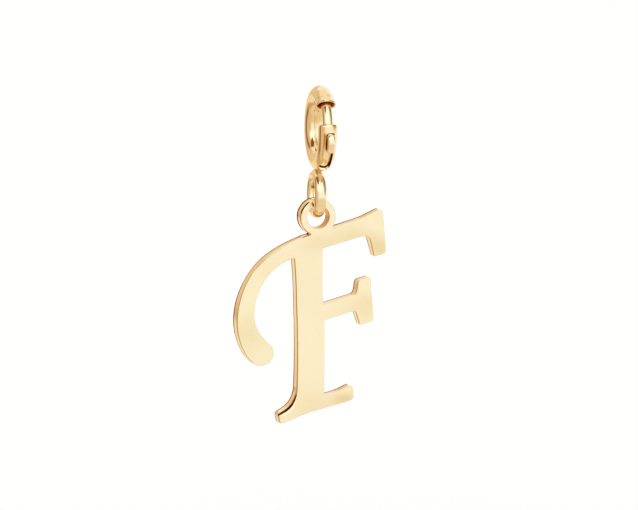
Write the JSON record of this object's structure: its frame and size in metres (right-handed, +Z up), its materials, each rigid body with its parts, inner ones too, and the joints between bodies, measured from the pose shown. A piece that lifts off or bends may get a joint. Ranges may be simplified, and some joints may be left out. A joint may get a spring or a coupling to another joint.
{
  "type": "initial pendant",
  "caption": "Flat swash italic letter F with a loop, hung from the eye of a spring ring clasp whose thumb lug slides a sprung bolt to open its mouth for a chain or bail.",
  "frame": {"origin": "the point inside the top of the clasp ring where the pendant hangs from a chain's end link, a jump ring or a bracelet", "axes": "+Z up along the hanging pendant, -Y out of the letter's front face, +X to the right as the letter is read"},
  "size_m": [0.011, 0.0066, 0.0238],
  "materials": {
    "clasp_gold": "polished 14 karat yellow gold tube and wire",
    "bolt_gold": "drawn and polished 14 karat yellow gold wire",
    "letter_gold": "polished 14 karat yellow gold plate with softened edges"
  },
  "bodies": {
    "clasp": {"clasp_ring": "clasp_gold"},
    "bolt": {"bolt": "bolt_gold"},
    "letter": {"letter": "letter_gold"}
  },
  "joints": [
    {"name": "bolt_slide", "type": "hinge", "parent": "clasp", "child": "bolt", "pos_m": [-0.00003, 0, -0.00169], "axis": [0.996, -0.0871, -0.0175], "range_deg": [0, 41], "stiffness_Nm_per_rad": 0.0012, "springref_deg": -34.38},
    {"name": "letter_swing", "type": "hinge", "parent": "clasp", "child": "letter", "pos_m": [-0.00024, 0.00035, -0.00796], "axis": [0, 1, 0], "range_deg": [-72, 115]}
  ]
}
